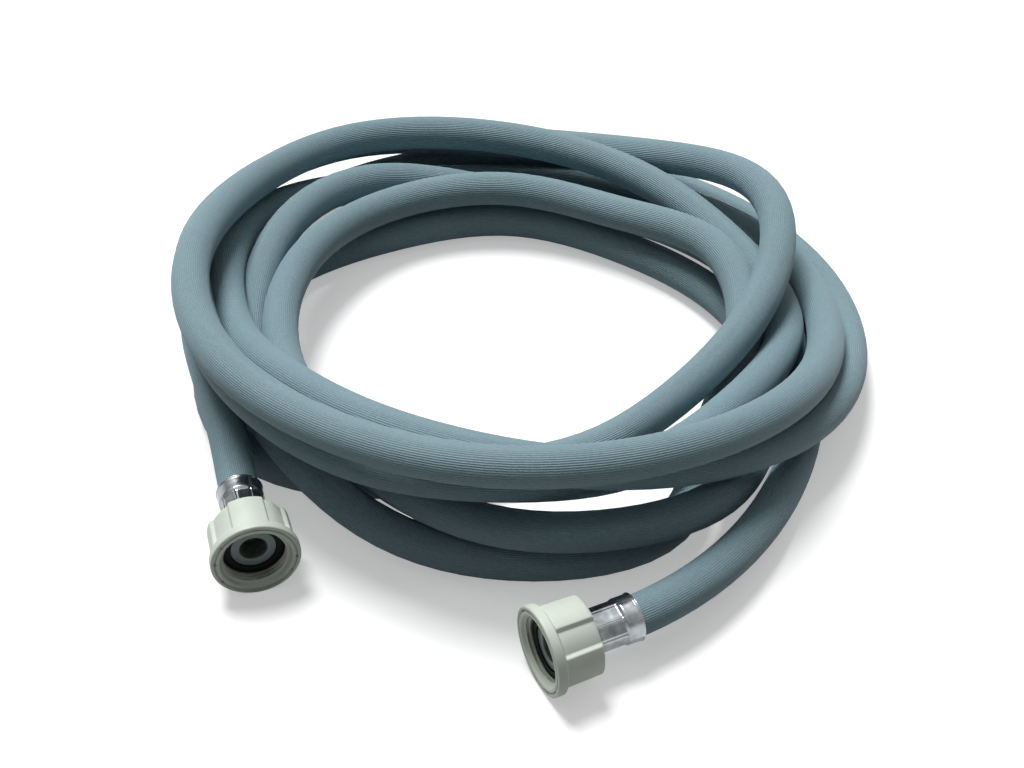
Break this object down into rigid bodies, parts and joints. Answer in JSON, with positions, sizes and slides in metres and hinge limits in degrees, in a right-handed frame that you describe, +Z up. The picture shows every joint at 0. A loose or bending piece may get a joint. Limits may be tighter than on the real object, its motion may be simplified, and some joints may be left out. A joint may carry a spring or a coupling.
{
  "type": "washing machine inlet hose",
  "caption": "Flexible ribbed water supply hose lying in a loose coil, with a spinning plastic union nut, a washer and a crimped metal ferrule at each end.",
  "frame": {"origin": "middle of the bounding box of the hose as it lies, on the floor that the hose and both nuts rest on", "axes": "+Z up from the floor, the shortest extent; Y along the longest extent, both union nuts on the -Y side; X across the coil"},
  "size_m": [0.3054, 0.3624, 0.0739],
  "materials": {
    "hose_rubber": "blue-grey, finely ribbed, satin",
    "nut_plastic": "off-white moulded nylon, satin",
    "tail_plastic": "milky, slightly glossy",
    "washer_rubber": "black, matt",
    "ferrule_metal": "bright plated, crimped"
  },
  "bodies": {
    "hose_body": {"hose": "hose_rubber", "hose_tail_a": "tail_plastic", "washer_a": "washer_rubber", "ferrule_a": "ferrule_metal", "hose_tail_b": "tail_plastic", "washer_b": "washer_rubber", "ferrule_b": "ferrule_metal"},
    "nut_a": {"union_nut_a": "nut_plastic"},
    "nut_b": {"union_nut_b": "nut_plastic"}
  },
  "joints": [
    {"name": "nut_a_spin", "type": "hinge", "parent": "hose_body", "child": "nut_a", "pos_m": [-0.0986, -0.1208, 0.0173], "axis": [0.2807, -0.9598, 0], "continuous": true},
    {"name": "nut_b_spin", "type": "hinge", "parent": "hose_body", "child": "nut_b", "pos_m": [0.0068, -0.166, 0.0173], "axis": [-0.9003, -0.4352, 0], "continuous": true}
  ]
}
